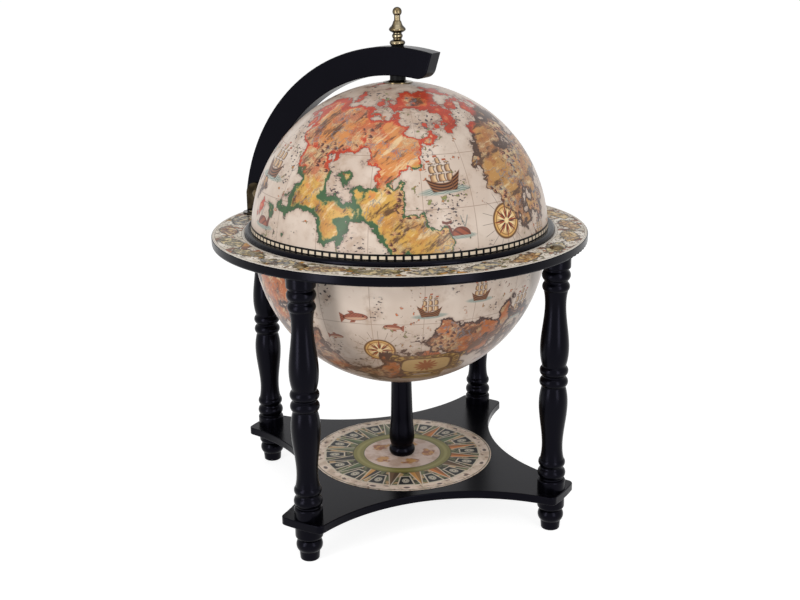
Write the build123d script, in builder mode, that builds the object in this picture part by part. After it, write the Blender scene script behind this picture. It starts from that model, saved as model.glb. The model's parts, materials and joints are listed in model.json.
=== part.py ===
"""Tabletop globe bar: a globe whose upper half is a lid, in a ring on four turned legs.

The lid hangs from a half-meridian arm on one central spindle, and the arm is
hinged to the horizon ring above the rear leg. Millimetres, +Z up, origin on
the floor under the globe's axis, hinge at +Y.
"""
from build123d import *
import math
import os

os.makedirs("parts", exist_ok=True)

# ---------------------------------------------------------------- fits
joint_gap = 0.3          # between faces of bodies that move past each other
running_fit = 0.05       # radial, shaft in its bearing
screw_clearance = 0.2    # radial, screw through a plain hole
pilot_fit = 0.05         # radial, threaded shank in its own wood or metal

# ---------------------------------------------------------------- ring and stand
ring_radius = 208.0             # everything round is measured in from this
ring_width = 42.0
ring_thickness = 10.0
ring_top = 319.5                # bare wood, under the print
ring_upper_rounding = 0.6
ring_lower_rounding = 2.5

print_thickness = 0.4
print_margin = 0.3              # bare edge left around a print

shelf_top = 48.3
shelf_thickness = 9.0
shelf_hollow = 92.0             # from the ring's radius in to the middle of a side
shelf_side_radius = 192.0
shelf_end_rounding = 7.0
shelf_edge_rounding = 1.0
medallion_inset = 11.7          # from the middle of a side to the print

leg_inset = 17.0                # from the ring's edge to a leg's axis
leg_drum_radius = 15.2
leg_angles = {"right": 0, "rear": 90, "left": 180, "front": 270}

stud_radius = 3.0
stud_depth_in_foot = 20.0
stud_depth_in_leg = 25.0
ring_bolt_depth = 40.0
ring_cap_radius = 8.0
ring_cap_height = 3.0
rear_screw_head_radius = 6.0

post_top_radius = 11.6
post_foot_radius = 15.1
post_screw_radius = 1.75
post_screw_depth = 30.0
post_screw_head_radius = 3.6
post_screw_head_height = 2.6

# ---------------------------------------------------------------- globe
shell_wall = 4.0
bowl_clearance = 2.8            # radial, bowl in the ring's hole
bowl_centre_drop = 9.0          # below the ring's top
bowl_edge_drop = 8.5

rim_depth = 16.0                # radial, of the rim inside the ring's hole
rim_height = 5.5                # of the flange above the ring
rim_width = 6.0                 # of the flange outside the ring's hole
rim_rounding = 3.8

lid_clearance = 1.5             # radial, lid against the ring's hole
lid_centre_drop = 2.8
lid_hoop_height = 12.0
band_height = 5.7
band_thickness = 0.4

# ---------------------------------------------------------------- rack
tray_drop = 19.5                # below the ring's top
tray_thickness = 6.0
tray_clearance = 10.0           # radial, tray in the ring's hole
tray_margin = 23.0              # from the glass holes to the tray's edge
bottle_hole_radius = 47.0
glass_count = 6
glass_hole_radius = 31.0
glass_depth = 74.0              # from the tray's top to the glass shelf
glass_shelf_thickness = 5.0
glass_shelf_gap = 1.7           # from its lower edge to the bowl, level
pillar_count = 3
pillar_radius = 5.0
pillar_offset = 23.0            # from the bottle hole
base_disc_radius = 64.0
base_disc_thickness = 6.0
cleat_count = 6
cleat_width = 24.0
cleat_depth = 12.0
cleat_height = 14.0

# ---------------------------------------------------------------- arm and hinge
arm_gap = 12.8                  # from the lid to the arm
arm_width = 30.7
arm_thickness = 20.0
arm_centre_drop = 8.3
arm_edge_rounding = 1.0
arm_tip_reach = 47.5            # of the tip's top corner past the axis
arm_tip_undercut = 9.0          # of the tip's lower corner, back from the top one
arm_tip_rounding = 13.0

arm_foot_gap = 4.55             # from the bracket's plate to the arm's foot
hinge_pin_radius = 3.0
hinge_head_radius = 4.6
hinge_head_height = 1.8
cheek_radius = 13.5
cheek_thickness = 2.5
plate_length = 58.0
plate_width = 28.0
plate_thickness = 2.2
plate_edge_rounding = 0.8
cheek_edge_rounding = 0.6
plate_screw_offset = 20.5       # from the arm's plane
plate_screw_radius = 1.8
plate_screw_depth = 8.0
plate_screw_head_radius = 3.6
plate_screw_head_height = 2.0
plate_screw_rounding = 1.2

# ---------------------------------------------------------------- spindle stack
finial_height = 39.9
spindle_radius = 3.0
spindle_tail = 2.5              # below the nut
finial_washer_radius = 6.7
finial_washer_thickness = 1.2
spot_depth = 0.3                # flats cut in the arm for the spacer and washer
spacer_radius = 8.6
dome_washer_radius = 16.1
dome_washer_height = 2.0        # above the pole of the lid
boss_radius = 28.0
boss_height = 12.0
inner_washer_radius = 12.0
inner_washer_thickness = 1.6
nut_across_flats = 10.0
nut_height = 5.0

# ---------------------------------------------------------------- worked out
shelf_bottom = shelf_top - shelf_thickness
shelf_waist = ring_radius - shelf_hollow
medallion_radius = shelf_waist - medallion_inset
ring_bottom = ring_top - ring_thickness
ring_hole_radius = ring_radius - ring_width
print_top = ring_top + print_thickness
leg_radius = ring_radius - leg_inset
leg_length = ring_bottom - shelf_top
bowl_radius = ring_hole_radius - bowl_clearance
bowl_inside = bowl_radius - shell_wall
bowl_centre = ring_top - bowl_centre_drop
bowl_edge = ring_top - bowl_edge_drop
bowl_pole = bowl_centre - bowl_radius
bowl_screw_seat = bowl_centre - math.sqrt(bowl_inside**2 - post_screw_head_radius**2)
rim_inner_radius = ring_hole_radius - rim_depth
rim_outer_radius = ring_hole_radius + rim_width
rim_top = ring_top + rim_height
lid_radius = ring_hole_radius - lid_clearance
lid_inside = lid_radius - shell_wall
lid_centre = ring_top - lid_centre_drop
lid_edge = rim_top + joint_gap
lid_pole = lid_centre + lid_radius
lid_inside_pole = lid_centre + lid_inside
tray_top = ring_top - tray_drop
tray_radius = ring_hole_radius - tray_clearance
glass_circle_radius = tray_radius - tray_margin - glass_hole_radius
glass_shelf_top = tray_top - glass_depth
glass_shelf_bottom = glass_shelf_top - glass_shelf_thickness
glass_shelf_radius = (
    math.sqrt(bowl_inside**2 - (bowl_centre - glass_shelf_bottom) ** 2) - glass_shelf_gap
)
pillar_circle_radius = bottle_hole_radius + pillar_offset
arm_inner_radius = lid_radius + arm_gap
arm_radius = arm_inner_radius + arm_width
arm_centre = ring_top - arm_centre_drop
arm_middle = arm_radius - arm_width / 2
plate_top = print_top + plate_thickness
hinge_z = plate_top + arm_foot_gap + arm_width / 2
hinge_lean = math.asin((hinge_z - arm_centre) / arm_middle)
hinge_y = arm_middle * math.cos(hinge_lean)
cheek_inside = arm_thickness / 2 + joint_gap
cheek_outside = cheek_inside + cheek_thickness
arm_top = arm_centre + arm_radius
arm_underside = arm_centre + arm_inner_radius
spacer_top = arm_underside + spot_depth
spacer_bottom = lid_pole + dome_washer_height + joint_gap
finial_bottom = arm_top - spot_depth + finial_washer_thickness
boss_bottom = lid_inside_pole - boss_height
nut_top = boss_bottom - joint_gap - inner_washer_thickness
spindle_bottom = nut_top - nut_height - spindle_tail


def save(piece, name):
    """Label a finished piece and write its STEP file."""
    piece.label = name
    export_step(piece, f"parts/{name}.step")


def cap(radius, base, height):
    """Quarter outline of a low spherical dome, from its edge up to the axis."""
    sphere = (radius**2 + height**2) / (2 * height)
    half_way = math.asin(radius / sphere) / 2
    middle = (sphere * math.sin(half_way), base + height - sphere * (1 - math.cos(half_way)))
    return ThreePointArc((radius, base), middle, (0, base + height))


def bead(root, crown, low, high):
    """Half-round moulding on a turning, between two heights, in radius and height."""
    return ThreePointArc((root, low), (crown, (low + high) / 2), (root, high))


# ================================================================ stand
# Shelf with four hollow sides; its ends carry the legs.
with BuildPart() as base_shelf:
    with BuildSketch(Plane.XY.offset(shelf_bottom)) as shelf_plan:
        Circle(ring_radius)
        with PolarLocations(shelf_waist + shelf_side_radius, 4, start_angle=45):
            Circle(shelf_side_radius, mode=Mode.SUBTRACT)
        fillet(shelf_plan.vertices(), shelf_end_rounding)
    extrude(amount=shelf_thickness)
    rims = base_shelf.faces().filter_by(Axis.Z).edges()
    fillet(rims, shelf_edge_rounding)
    with BuildSketch(Plane.XY.offset(shelf_bottom)):
        with PolarLocations(leg_radius, 4):
            Circle(stud_radius + screw_clearance)
        Circle(post_screw_radius + screw_clearance)
    extrude(amount=shelf_thickness, mode=Mode.SUBTRACT)
    with BuildSketch(Plane.XY.offset(shelf_bottom)):
        Circle(post_screw_head_radius + screw_clearance)
    extrude(amount=post_screw_head_height, mode=Mode.SUBTRACT)
save(base_shelf.part, "base_shelf")

# Printed sheet on the shelf, under the centre post.
with BuildPart() as medallion_print:
    with BuildSketch(Plane.XY.offset(shelf_top)):
        Circle(medallion_radius)
        Circle(post_screw_radius + screw_clearance, mode=Mode.SUBTRACT)
    extrude(amount=print_thickness)
save(medallion_print.part, "medallion_print")

# Horizon ring: flat board ring with an eased upper and a rounder lower edge.
with BuildPart() as horizon_ring:
    with BuildSketch(Plane.XY.offset(ring_bottom)):
        Circle(ring_radius)
        Circle(ring_hole_radius, mode=Mode.SUBTRACT)
    extrude(amount=ring_thickness)
    outer_edges = horizon_ring.edges().filter_by(GeomType.CIRCLE).sort_by(SortBy.RADIUS)[-2:]
    fillet(outer_edges.sort_by(Axis.Z)[-1], ring_upper_rounding)
    outer_edges = horizon_ring.edges().filter_by(GeomType.CIRCLE).group_by(Axis.Z)[0]
    fillet(outer_edges.sort_by(SortBy.RADIUS)[-1], ring_lower_rounding)
    with BuildSketch(Plane.XY.offset(ring_bottom)):
        with PolarLocations(leg_radius, 4):
            Circle(stud_radius + screw_clearance)
    extrude(amount=ring_thickness, mode=Mode.SUBTRACT)
    with BuildSketch(Plane.XY.offset(ring_top - plate_screw_depth)):
        with Locations((-plate_screw_offset, hinge_y), (plate_screw_offset, hinge_y)):
            Circle(plate_screw_radius + pilot_fit)
    extrude(amount=plate_screw_depth, mode=Mode.SUBTRACT)
    rear_seat = Plane.XY.offset(ring_top - rear_screw_head_radius + stud_radius)
    with BuildSketch(rear_seat):
        with Locations((0, leg_radius)):
            Circle(stud_radius + screw_clearance)
    with BuildSketch(Plane.XY.offset(ring_top)):
        with Locations((0, leg_radius)):
            Circle(rear_screw_head_radius + screw_clearance)
    loft(mode=Mode.SUBTRACT)
save(horizon_ring.part, "horizon_ring")

# Printed sheet on the ring, pierced for the three bolts and the bracket's screws.
with BuildPart() as ring_print:
    with BuildSketch(Plane.XY.offset(ring_top)):
        Circle(ring_radius - ring_upper_rounding - print_margin)
        Circle(rim_outer_radius + print_margin, mode=Mode.SUBTRACT)
        for angle in leg_angles.values():
            if angle != leg_angles["rear"]:
                with PolarLocations(leg_radius, 1, start_angle=angle):
                    Circle(stud_radius + screw_clearance, mode=Mode.SUBTRACT)
        with Locations((-plate_screw_offset, hinge_y), (plate_screw_offset, hinge_y)):
            Circle(plate_screw_radius + screw_clearance, mode=Mode.SUBTRACT)
    extrude(amount=print_thickness)
save(ring_print.part, "ring_print")

# ---------------------------------------------------------------- legs
# One half of a leg from its middle up, then mirrored: two beads at the middle,
# a long vase, two beads and a plain drum at the end.
half_length = leg_length / 2
middle_bead = (1.2, 11.2)       # heights from the middle
middle_root = 13.0
middle_crown = 15.4
vase_start = 12.4
vase_swell = 31.0
vase_radius = 15.5
vase_neck_depth = 47.6          # depths from the end
vase_neck_radius = 11.3
lower_end_bead_depths = (35.3, 26.8)
upper_end_bead_depths = (24.0, 13.4)
end_root = 12.9
lower_end_crown = 14.6
upper_end_crown = 15.2
drum_depth = 11.6
drum_rounding = 2.2
groove_radius = 12.4

vase_neck = half_length - vase_neck_depth
lower_end_bead = [half_length - depth for depth in lower_end_bead_depths]
upper_end_bead = [half_length - depth for depth in upper_end_bead_depths]
end_groove = (lower_end_bead[1] + upper_end_bead[0]) / 2
drum_start = half_length - drum_depth

with BuildPart() as turned_leg:
    with BuildSketch(Plane.XZ):
        with BuildLine():
            groove = Line((groove_radius, 0), (groove_radius, middle_bead[0] / 2))
            lead = Line(groove @ 1, (middle_root, middle_bead[0]))
            ball = bead(middle_root, middle_crown, *middle_bead)
            fillet_ring = Line(ball @ 1, (middle_root, vase_start))
            vase = Spline(
                fillet_ring @ 1,
                (vase_radius, vase_swell),
                (vase_neck_radius, vase_neck),
                (end_root, lower_end_bead[0]),
            )
            low_bead = bead(end_root, lower_end_crown, *lower_end_bead)
            cut = Line(low_bead @ 1, (groove_radius, end_groove))
            cut_back = Line(cut @ 1, (end_root, upper_end_bead[0]))
            high_bead = bead(end_root, upper_end_crown, *upper_end_bead)
            step = Line(high_bead @ 1, (end_root, drum_start))
            shoulder = Line(step @ 1, (leg_drum_radius - drum_rounding, drum_start))
            corner = RadiusArc(
                shoulder @ 1,
                (leg_drum_radius, drum_start + drum_rounding),
                -drum_rounding,
            )
            side = Line(corner @ 1, (leg_drum_radius, half_length))
            end = Line(side @ 1, (0, half_length))
            axis = Line(end @ 1, (0, 0))
            middle = Line(axis @ 1, groove @ 0)
        make_face()
    revolve(axis=Axis.Z)
    mirror(about=Plane.XY)
    with BuildSketch(Plane.XY.offset(-half_length)):
        Circle(stud_radius + pilot_fit)
    extrude(amount=stud_depth_in_leg, mode=Mode.SUBTRACT)
    with BuildSketch(Plane.XY.offset(half_length)):
        Circle(stud_radius + pilot_fit)
    extrude(amount=-(ring_bolt_depth - ring_thickness), mode=Mode.SUBTRACT)

# Bun foot: a collar as wide as the leg's drum, a bun and a slightly tapered pad.
foot_collar_radius = 14.8
foot_neck_radius = 10.8
foot_collar_rounding = foot_collar_radius - foot_neck_radius
foot_neck = 24.0
foot_bun_crown = 14.1
foot_bun_root = 11.0
foot_bun_low = 10.2
foot_pad_radius = 10.3
foot_pad_rounding = 2.0

with BuildPart() as turned_foot:
    with BuildSketch(Plane.XZ):
        with BuildLine():
            sole = Line((0, 0), (foot_pad_radius - foot_pad_rounding, 0))
            toe = RadiusArc(sole @ 1, (foot_pad_radius, foot_pad_rounding), -foot_pad_rounding)
            pad = Line(toe @ 1, (foot_bun_root, foot_bun_low))
            bun = ThreePointArc(
                pad @ 1,
                (foot_bun_crown, (foot_bun_low + foot_neck) / 2),
                (foot_neck_radius, foot_neck),
            )
            swell = RadiusArc(
                bun @ 1,
                (foot_collar_radius, foot_neck + foot_collar_rounding),
                -foot_collar_rounding,
            )
            collar = Line(swell @ 1, (foot_collar_radius, shelf_bottom))
            top = Line(collar @ 1, (0, shelf_bottom))
            core = Line(top @ 1, (0, 0))
        make_face()
    revolve(axis=Axis.Z)
    with BuildSketch(Plane.XY.offset(shelf_bottom)):
        Circle(stud_radius + pilot_fit)
    extrude(amount=-stud_depth_in_foot, mode=Mode.SUBTRACT)

for place, angle in leg_angles.items():
    with BuildPart() as leg:
        with PolarLocations(leg_radius, 1, start_angle=angle):
            with Locations((0, 0, shelf_top + half_length)):
                add(turned_leg.part)
    save(leg.part, f"leg_{place}")
    with BuildPart() as foot:
        with PolarLocations(leg_radius, 1, start_angle=angle):
            add(turned_foot.part)
    save(foot.part, f"foot_{place}")

# Double-ended studs that hold each foot and leg to the shelf.
with BuildPart() as foot_studs:
    with BuildSketch(Plane.XY.offset(shelf_bottom - stud_depth_in_foot)):
        with PolarLocations(leg_radius, 4):
            Circle(stud_radius)
    extrude(amount=stud_depth_in_foot + shelf_thickness + stud_depth_in_leg)
save(foot_studs.part, "foot_studs")

# Dome-headed bolts down through the ring into three of the legs.
with BuildPart() as cap_bolt:
    with BuildSketch(Plane.XZ):
        with BuildLine():
            dome = cap(ring_cap_radius, print_top, ring_cap_height)
            down = Line(dome @ 1, (0, ring_top - ring_bolt_depth))
            tip = Line(down @ 1, (stud_radius, ring_top - ring_bolt_depth))
            shank = Line(tip @ 1, (stud_radius, print_top))
            seat = Line(shank @ 1, dome @ 0)
        make_face()
    revolve(axis=Axis.Z)
with BuildPart() as ring_bolts:
    for angle in leg_angles.values():
        if angle != leg_angles["rear"]:
            with PolarLocations(leg_radius, 1, start_angle=angle):
                add(cap_bolt.part)
save(ring_bolts.part, "ring_bolts")

# Flat-headed screw into the rear leg, flush under the hinge bracket.
with BuildPart() as rear_leg_screw:
    with BuildSketch(Plane.XZ):
        with BuildLine():
            Polyline(
                (0, ring_top),
                (rear_screw_head_radius, ring_top),
                (stud_radius, ring_top - rear_screw_head_radius + stud_radius),
                (stud_radius, ring_top - ring_bolt_depth),
                (0, ring_top - ring_bolt_depth),
                close=True,
            )
        make_face()
    revolve(axis=Axis.Z)
rear_leg_screw.part.position = (0, leg_radius, 0)
save(rear_leg_screw.part, "rear_leg_screw")

# ---------------------------------------------------------------- centre post
post_bottom = shelf_top + print_thickness
post_bead_height = 10.6
post_groove_radius = 12.7
post_groove_height = 12.2
post_swell_radius = 14.7
post_swell_height = 23.5
post_waist_radius = 12.8
post_waist_height = 46.0

post_bead_top = post_bottom + post_bead_height
post_groove_top = post_bottom + post_groove_height
post_swell = post_bottom + post_swell_height
post_waist = post_bottom + post_waist_height
post_top = bowl_centre - math.sqrt(bowl_radius**2 - post_top_radius**2)

with BuildPart() as centre_post:
    with BuildSketch(Plane.XZ):
        with BuildLine():
            base = Line((0, post_bottom), (post_groove_radius, post_bottom))
            ring_bead = bead(post_groove_radius, post_foot_radius, post_bottom, post_bead_top)
            groove = Line(ring_bead @ 1, (post_groove_radius, post_groove_top))
            swell = Spline(
                groove @ 1,
                (post_swell_radius, post_swell),
                (post_waist_radius, post_waist),
                tangents=((1, 2), (post_top_radius - post_waist_radius, post_top - post_waist)),
            )
            taper = Line(swell @ 1, (post_top_radius, post_top))
            over = Line(taper @ 1, (0, post_top))
            back = Line(over @ 1, base @ 0)
        make_face()
    revolve(axis=Axis.Z)
    with Locations((0, 0, bowl_centre)):
        Sphere(bowl_radius, mode=Mode.SUBTRACT)
    with BuildSketch(Plane.XY.offset(post_bottom)):
        Circle(post_screw_radius + pilot_fit)
    extrude(amount=post_screw_depth, mode=Mode.SUBTRACT)
    with BuildSketch(Plane.XY.offset(post_top)):
        Circle(post_screw_radius + pilot_fit)
    extrude(amount=bowl_pole - post_screw_depth - post_top, mode=Mode.SUBTRACT)
save(centre_post.part, "centre_post")

# One screw up through the shelf into the post, one down through the bowl.
with BuildPart() as post_screws:
    with BuildSketch(Plane.XY.offset(shelf_bottom)):
        Circle(post_screw_head_radius)
    extrude(amount=post_screw_head_height)
    with BuildSketch(Plane.XY.offset(shelf_bottom)):
        Circle(post_screw_radius)
    extrude(amount=shelf_thickness + print_thickness + post_screw_depth)
    with BuildSketch(Plane.XY.offset(bowl_screw_seat)):
        Circle(post_screw_head_radius)
    extrude(amount=post_screw_head_height)
    with BuildSketch(Plane.XY.offset(bowl_screw_seat)):
        Circle(post_screw_radius)
    extrude(amount=bowl_pole - post_screw_depth - bowl_screw_seat)
save(post_screws.part, "post_screws")

# ================================================================ bowl
with BuildPart() as lower_hemisphere:
    with BuildSketch(Plane.XZ):
        with Locations((0, bowl_centre)):
            Circle(bowl_radius)
            Circle(bowl_inside, mode=Mode.SUBTRACT)
        with Locations((post_screw_radius + screw_clearance, bowl_edge)):
            Rectangle(bowl_radius, 2 * bowl_radius, align=(Align.MIN, Align.MAX), mode=Mode.INTERSECT)
    revolve(axis=Axis.Z)
save(lower_hemisphere.part, "lower_hemisphere")

# Black rim of the bowl: its flange rests on the ring, its spigot drops in the hole.
with BuildPart() as lower_rim:
    with BuildSketch(Plane.XZ) as rim_section:
        with Locations((rim_inner_radius, ring_top)):
            Rectangle(rim_depth + rim_width, rim_height, align=(Align.MIN, Align.MIN))
        fillet(rim_section.vertices().sort_by(Axis.X)[-2:].sort_by(Axis.Y)[-1], rim_rounding)
        with Locations((rim_inner_radius, ring_top)):
            Rectangle(rim_depth - screw_clearance, bowl_edge_drop, align=(Align.MIN, Align.MAX))
    revolve(axis=Axis.Z)
save(lower_rim.part, "lower_rim")

# Rack: a tray with a bottle hole and glass holes over a shelf for the glasses.
with BuildPart() as rack_tray:
    with BuildSketch(Plane.XY.offset(tray_top - tray_thickness)):
        Circle(tray_radius)
        Circle(bottle_hole_radius, mode=Mode.SUBTRACT)
        with PolarLocations(glass_circle_radius, glass_count):
            Circle(glass_hole_radius, mode=Mode.SUBTRACT)
    extrude(amount=tray_thickness)
save(rack_tray.part, "rack_tray")

with BuildPart() as glass_shelf:
    with BuildSketch(Plane.XY.offset(glass_shelf_bottom)):
        Circle(glass_shelf_radius)
        Circle(bottle_hole_radius, mode=Mode.SUBTRACT)
    extrude(amount=glass_shelf_thickness)
save(glass_shelf.part, "glass_shelf")

with BuildPart() as rack_pillars:
    with BuildSketch(Plane.XY.offset(glass_shelf_top)):
        with PolarLocations(pillar_circle_radius, pillar_count, start_angle=180 / glass_count):
            Circle(pillar_radius)
    extrude(amount=tray_top - tray_thickness - glass_shelf_top)
save(rack_pillars.part, "rack_pillars")

# Blocks glued inside the bowl; the tray lies on them.
with BuildPart() as tray_cleats:
    with PolarLocations(tray_radius, cleat_count, start_angle=180 / cleat_count):
        with Locations((0, 0, tray_top - tray_thickness)):
            Box(2 * cleat_depth, cleat_width, cleat_height,
                align=(Align.CENTER, Align.CENTER, Align.MAX))
    with Locations((0, 0, bowl_centre)):
        Sphere(bowl_inside, mode=Mode.INTERSECT)
save(tray_cleats.part, "tray_cleats")

# Disc in the bottom of the bowl, for the bottle to stand on.
base_disc_bottom = bowl_centre - math.sqrt(bowl_inside**2 - base_disc_radius**2)
with BuildPart() as bottle_base:
    with BuildSketch(Plane.XY.offset(base_disc_bottom)):
        Circle(base_disc_radius)
    extrude(amount=base_disc_thickness)
save(bottle_base.part, "bottle_base")

# ================================================================ lid
with BuildPart() as upper_hemisphere:
    with BuildSketch(Plane.XZ):
        with Locations((0, lid_centre)):
            Circle(lid_radius)
            Circle(lid_inside, mode=Mode.SUBTRACT)
        with Locations((spindle_radius + screw_clearance, lid_edge)):
            Rectangle(lid_radius, 2 * lid_radius, align=(Align.MIN, Align.MIN), mode=Mode.INTERSECT)
    revolve(axis=Axis.Z)
save(upper_hemisphere.part, "upper_hemisphere")

# Strip around the lid's edge.
with BuildPart() as lid_band:
    with BuildSketch(Plane.XZ):
        with Locations((0, lid_centre)):
            Circle(lid_radius + band_thickness)
            Circle(lid_radius, mode=Mode.SUBTRACT)
        with Locations((0, lid_edge)):
            Rectangle(2 * lid_radius, band_height, align=(Align.MIN, Align.MIN), mode=Mode.INTERSECT)
    revolve(axis=Axis.Z)
save(lid_band.part, "lid_band")

# Wooden hoop inside the lid's edge.
with BuildPart() as lid_hoop:
    with BuildSketch(Plane.XZ):
        with Locations((0, lid_centre)):
            Circle(lid_inside)
        with Locations((rim_inner_radius, lid_edge)):
            Rectangle(lid_radius - rim_inner_radius, lid_hoop_height,
                      align=(Align.MIN, Align.MIN), mode=Mode.INTERSECT)
    revolve(axis=Axis.Z)
save(lid_hoop.part, "lid_hoop")

# Block under the pole, the lid's bearing on the spindle.
with BuildPart() as lid_boss:
    with BuildSketch(Plane.XZ):
        with Locations((0, lid_centre)):
            Circle(lid_inside)
        with Locations((spindle_radius + running_fit, boss_bottom)):
            Rectangle(boss_radius - spindle_radius - running_fit, 2 * boss_height,
                      align=(Align.MIN, Align.MIN), mode=Mode.INTERSECT)
    revolve(axis=Axis.Z)
save(lid_boss.part, "lid_boss")

# Flared washer seated on the pole.
washer_bore = spindle_radius + running_fit
washer_hub_margin = 0.6         # outside the spacer
washer_sag = 0.4                # of the flare, in from a straight cone
washer_hub_radius = spacer_radius + washer_hub_margin
washer_top = lid_pole + dome_washer_height
washer_lip = 1.1                # thickness at the washer's edge
washer_edge = lid_centre + math.sqrt(lid_radius**2 - dome_washer_radius**2)
washer_hollow = (washer_top + washer_edge + washer_lip) / 2 - washer_sag
with BuildPart() as dome_washer:
    with BuildSketch(Plane.XZ):
        with BuildLine():
            bore = Line((washer_bore, lid_pole - washer_lip), (washer_bore, washer_top))
            face = Line(bore @ 1, (washer_hub_radius, washer_top))
            flare = ThreePointArc(
                face @ 1,
                ((washer_hub_radius + dome_washer_radius) / 2, washer_hollow),
                (dome_washer_radius, washer_edge + washer_lip),
            )
            lip = Line(flare @ 1, (dome_washer_radius, washer_edge - washer_lip))
            under = Line(lip @ 1, bore @ 0)
        make_face()
    revolve(axis=Axis.Z)
    with Locations((0, 0, lid_centre)):
        Sphere(lid_radius, mode=Mode.SUBTRACT)
save(dome_washer.part, "dome_washer")

# ================================================================ arm
tip_top_angle = 90 + math.degrees(math.asin(arm_tip_reach / arm_radius))
tip_low_reach = arm_tip_reach - arm_tip_undercut
tip_low_angle = 90 + math.degrees(math.asin(tip_low_reach / arm_inner_radius))
foot_angle = math.degrees(hinge_lean)
foot_end = (
    hinge_y + arm_width / 2 * math.sin(hinge_lean),
    hinge_z - arm_width / 2 * math.cos(hinge_lean),
)
with BuildPart() as meridian_arm:
    with BuildSketch(Plane.YZ) as arm_outline:
        with BuildLine():
            outside = CenterArc((0, arm_centre), arm_radius, foot_angle,
                                tip_top_angle - foot_angle)
            inside = CenterArc((0, arm_centre), arm_inner_radius, foot_angle,
                               tip_low_angle - foot_angle)
            tip = Line(outside @ 1, inside @ 1)
            foot_round = ThreePointArc(inside @ 0, foot_end, outside @ 0)
        make_face()
        fillet(arm_outline.vertices().sort_by(Axis.X)[:2].sort_by(Axis.Y)[0], arm_tip_rounding)
    extrude(amount=arm_thickness / 2, both=True)
    side_edges = meridian_arm.faces().filter_by(Axis.X).edges()
    fillet(side_edges, arm_edge_rounding)
    with BuildSketch(Plane.XY.offset(arm_underside - spot_depth)):
        Circle(spindle_radius + screw_clearance)
    extrude(amount=arm_width + 2 * spot_depth, mode=Mode.SUBTRACT)
    with BuildSketch(Plane.XY.offset(arm_underside - spot_depth)):
        Circle(spacer_radius + screw_clearance)
    extrude(amount=2 * spot_depth, mode=Mode.SUBTRACT)
    with BuildSketch(Plane.XY.offset(arm_top - spot_depth)):
        Circle(finial_washer_radius + screw_clearance)
    extrude(amount=2 * spot_depth, mode=Mode.SUBTRACT)
    with BuildSketch(Plane.YZ):
        with Locations((hinge_y, hinge_z)):
            Circle(hinge_pin_radius + running_fit)
    extrude(amount=arm_thickness, both=True, mode=Mode.SUBTRACT)
save(meridian_arm.part, "meridian_arm")

# Threaded spindle from the nut inside the lid up into the finial.
finial_thread_depth = 5.4
with BuildPart() as spindle:
    with BuildSketch(Plane.XY.offset(spindle_bottom)):
        Circle(spindle_radius)
    extrude(amount=finial_bottom + finial_thread_depth - spindle_bottom)
save(spindle.part, "spindle")

with BuildPart() as spindle_nut:
    with BuildSketch(Plane.XY.offset(nut_top)):
        RegularPolygon(nut_across_flats / 2, 6, major_radius=False)
        Circle(spindle_radius + pilot_fit, mode=Mode.SUBTRACT)
    extrude(amount=-nut_height)
save(spindle_nut.part, "spindle_nut")

with BuildPart() as inner_washer:
    with BuildSketch(Plane.XY.offset(nut_top)):
        Circle(inner_washer_radius)
        Circle(spindle_radius + pilot_fit, mode=Mode.SUBTRACT)
    extrude(amount=inner_washer_thickness)
save(inner_washer.part, "inner_washer")

with BuildPart() as arm_spacer:
    with BuildSketch(Plane.XY.offset(spacer_bottom)):
        Circle(spacer_radius)
        Circle(spindle_radius + pilot_fit, mode=Mode.SUBTRACT)
    extrude(amount=spacer_top - spacer_bottom)
save(arm_spacer.part, "arm_spacer")

with BuildPart() as finial_washer:
    with BuildSketch(Plane.XY.offset(finial_bottom - finial_washer_thickness)):
        Circle(finial_washer_radius)
        Circle(spindle_radius + pilot_fit, mode=Mode.SUBTRACT)
    extrude(amount=finial_washer_thickness)
save(finial_washer.part, "finial_washer")

# Turned brass finial: saucer collar, bead, flared bell and ball. Heights are above its base.
finial_root = 4.7
collar_base_radius = 6.9
collar_radius = 8.4
collar_brim = 2.6
collar_shoulder_radius = 6.2
collar_top = 5.2
collar_neck = 6.0
finial_bead_crown = 5.8
finial_bead = (7.3, 12.0)
bell_bottom = 13.0
bell_under_radius = 7.2
bell_under = 14.1
bell_radius = 9.1
bell_brim = 16.2
bell_shoulder_radius = 8.2
bell_shoulder = 18.4
bell_flare_radius = 5.8
bell_flare = 21.0
bell_waist_radius = 4.1
bell_waist = 25.4
bell_top_radius = 3.3
finial_ball_radius = 5.0

ball_centre = finial_height - finial_ball_radius
ball_foot = ball_centre - math.sqrt(finial_ball_radius**2 - bell_top_radius**2)
finial_base = Plane(origin=(0, 0, finial_bottom), x_dir=(1, 0, 0), z_dir=(0, -1, 0))
with BuildPart() as finial:
    with BuildSketch(finial_base):
        with BuildLine():
            base = Line((0, 0), (collar_base_radius, 0))
            saucer = ThreePointArc(
                base @ 1, (collar_radius, collar_brim), (collar_shoulder_radius, collar_top)
            )
            drop = Line(saucer @ 1, (finial_root, collar_neck))
            rise = Line(drop @ 1, (finial_root, finial_bead[0]))
            ring_bead = bead(finial_root, finial_bead_crown, *finial_bead)
            waist = Line(ring_bead @ 1, (finial_root, bell_bottom))
            bell = Spline(
                waist @ 1,
                (bell_under_radius, bell_under),
                (bell_radius, bell_brim),
                (bell_shoulder_radius, bell_shoulder),
                (bell_flare_radius, bell_flare),
                (bell_waist_radius, bell_waist),
                (bell_top_radius, ball_foot),
                tangents=((3, 1), (0, 1)),
            )
            ball = ThreePointArc(
                bell @ 1, (finial_ball_radius, ball_centre), (0, finial_height)
            )
            core = Line(ball @ 1, base @ 0)
        make_face()
    revolve(axis=Axis.Z)
    with BuildSketch(Plane.XY.offset(finial_bottom)):
        Circle(spindle_radius + pilot_fit)
    extrude(amount=finial_thread_depth, mode=Mode.SUBTRACT)
save(finial.part, "finial")

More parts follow.
